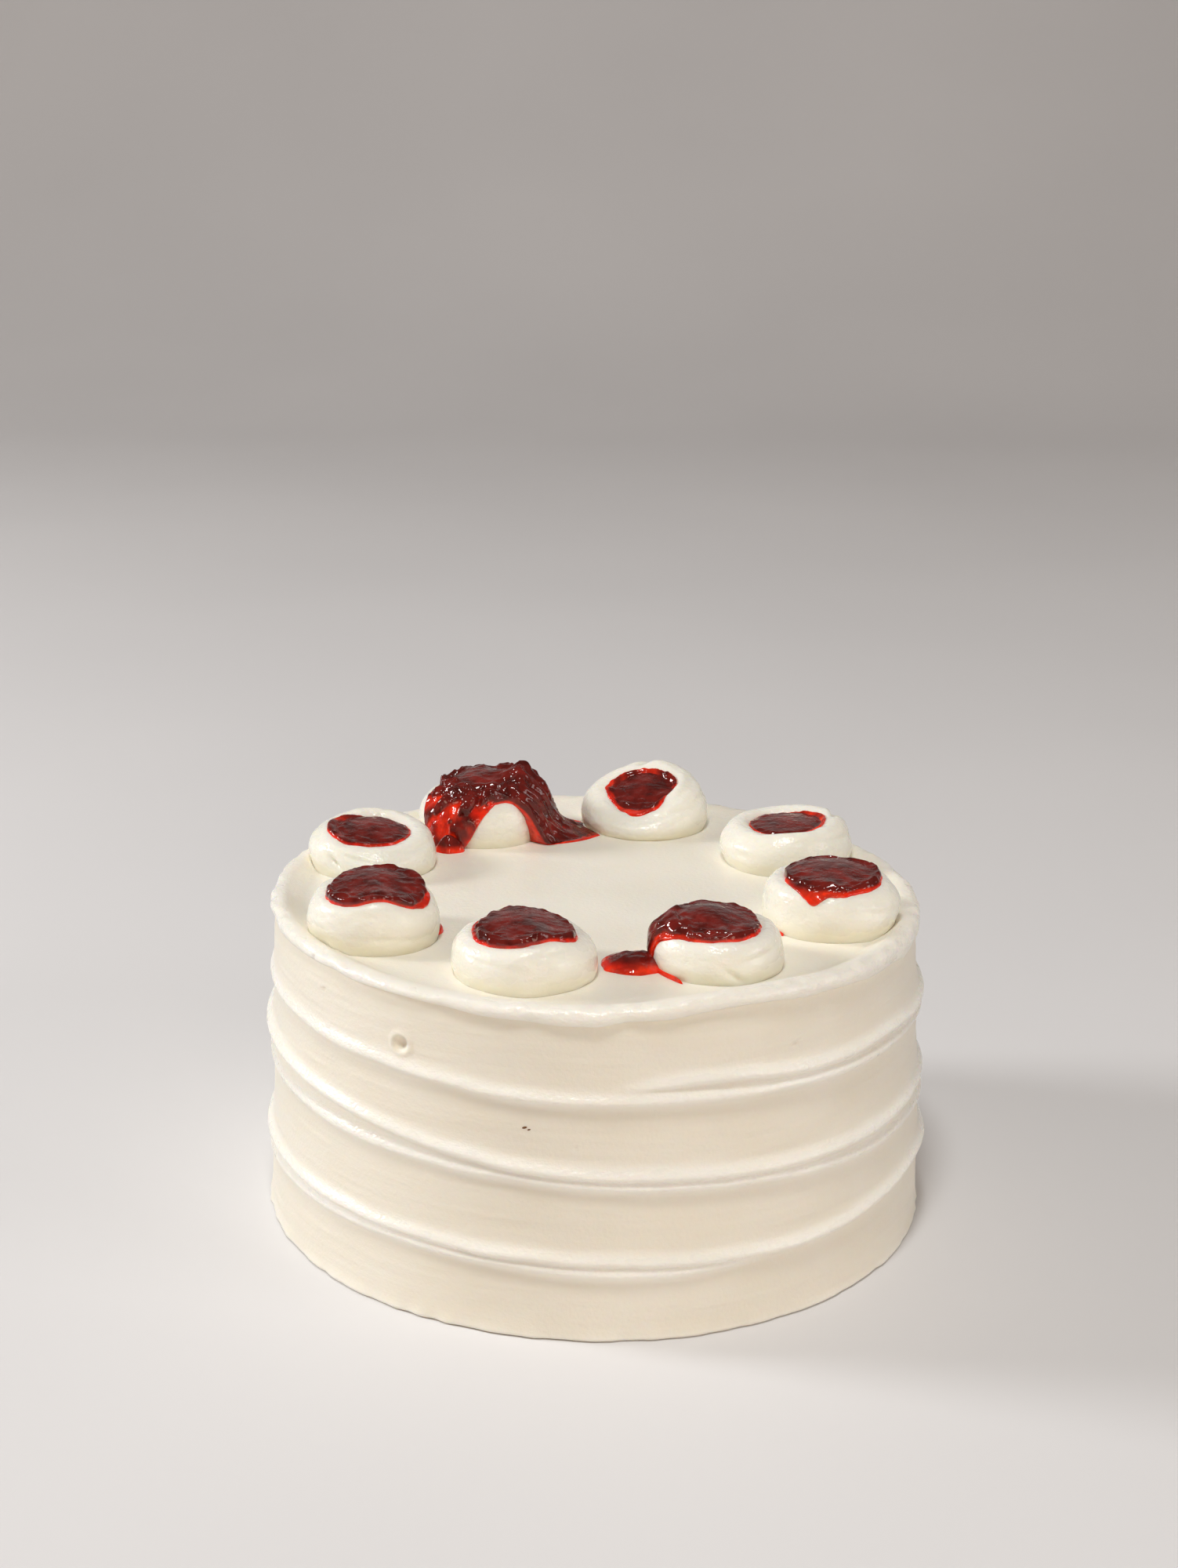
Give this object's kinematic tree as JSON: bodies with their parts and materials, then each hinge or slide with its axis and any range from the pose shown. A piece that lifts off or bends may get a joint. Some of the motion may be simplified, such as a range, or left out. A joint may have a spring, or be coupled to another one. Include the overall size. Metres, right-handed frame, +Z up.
{
  "type": "victoria sponge cake",
  "caption": "Round victoria sponge cake, coated in scraped whipped cream, with hollowed cream dollops round the rim that are filled with dark red jam.",
  "frame": {"origin": "middle of the flat base", "axes": "+Z up through the cake, -Y towards the front as pictured, +X to the right"},
  "size_m": [0.1525, 0.1522, 0.0898],
  "materials": {
    "cream": "soft, slightly moist whipped cream, ivory",
    "jam": "wet dark red jam with seeds and lumps"
  },
  "bodies": {
    "root": {"iced_cake": "cream", "cream_front_left": "cream", "cream_front": "cream", "cream_front_right": "cream", "cream_right": "cream", "cream_back_right": "cream", "cream_back": "cream", "cream_back_left": "cream", "cream_left": "cream", "jam_front_left": "jam", "jam_front": "jam", "jam_front_right": "jam", "jam_right": "jam", "jam_back_right": "jam", "jam_back": "jam", "jam_back_left": "jam", "jam_left": "jam", "jam_spill": "jam", "jam_spot": "jam"}
  },
  "joints": []
}
